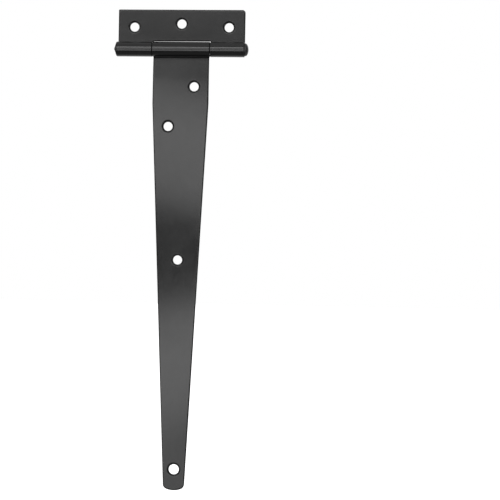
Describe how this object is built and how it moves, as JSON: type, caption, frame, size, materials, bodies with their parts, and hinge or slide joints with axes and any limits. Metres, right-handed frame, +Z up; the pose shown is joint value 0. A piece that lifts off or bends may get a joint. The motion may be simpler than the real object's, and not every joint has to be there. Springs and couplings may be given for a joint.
{
  "type": "tee hinge",
  "caption": "Black steel tee hinge: a short wide post leaf, a long tapered strap with a rounded tip, rolled knuckles and a riveted pin.",
  "frame": {"origin": "the middle of the hinge pin's axis", "axes": "+X along the pin towards its round head, +Z up towards the post leaf with the strap hanging down along -Z, -Y out of the faces that are seen and +Y into the post and the gate"},
  "size_m": [0.0919, 0.01, 0.3276],
  "materials": {
    "post_leaf_paint": "satin black powder coat over mild steel sheet",
    "strap_paint": "satin black powder coat over mild steel sheet",
    "pin_paint": "satin black powder coat over a steel rivet pin, thin on its hammered end"
  },
  "bodies": {
    "post_side": {"post_leaf": "post_leaf_paint", "hinge_pin": "pin_paint"},
    "gate_side": {"strap": "strap_paint"}
  },
  "joints": [
    {"name": "strap_swing", "type": "hinge", "parent": "post_side", "child": "gate_side", "pos_m": [0, 0, 0], "axis": [-1, 0, 0], "range_deg": [-100, 190]}
  ]
}
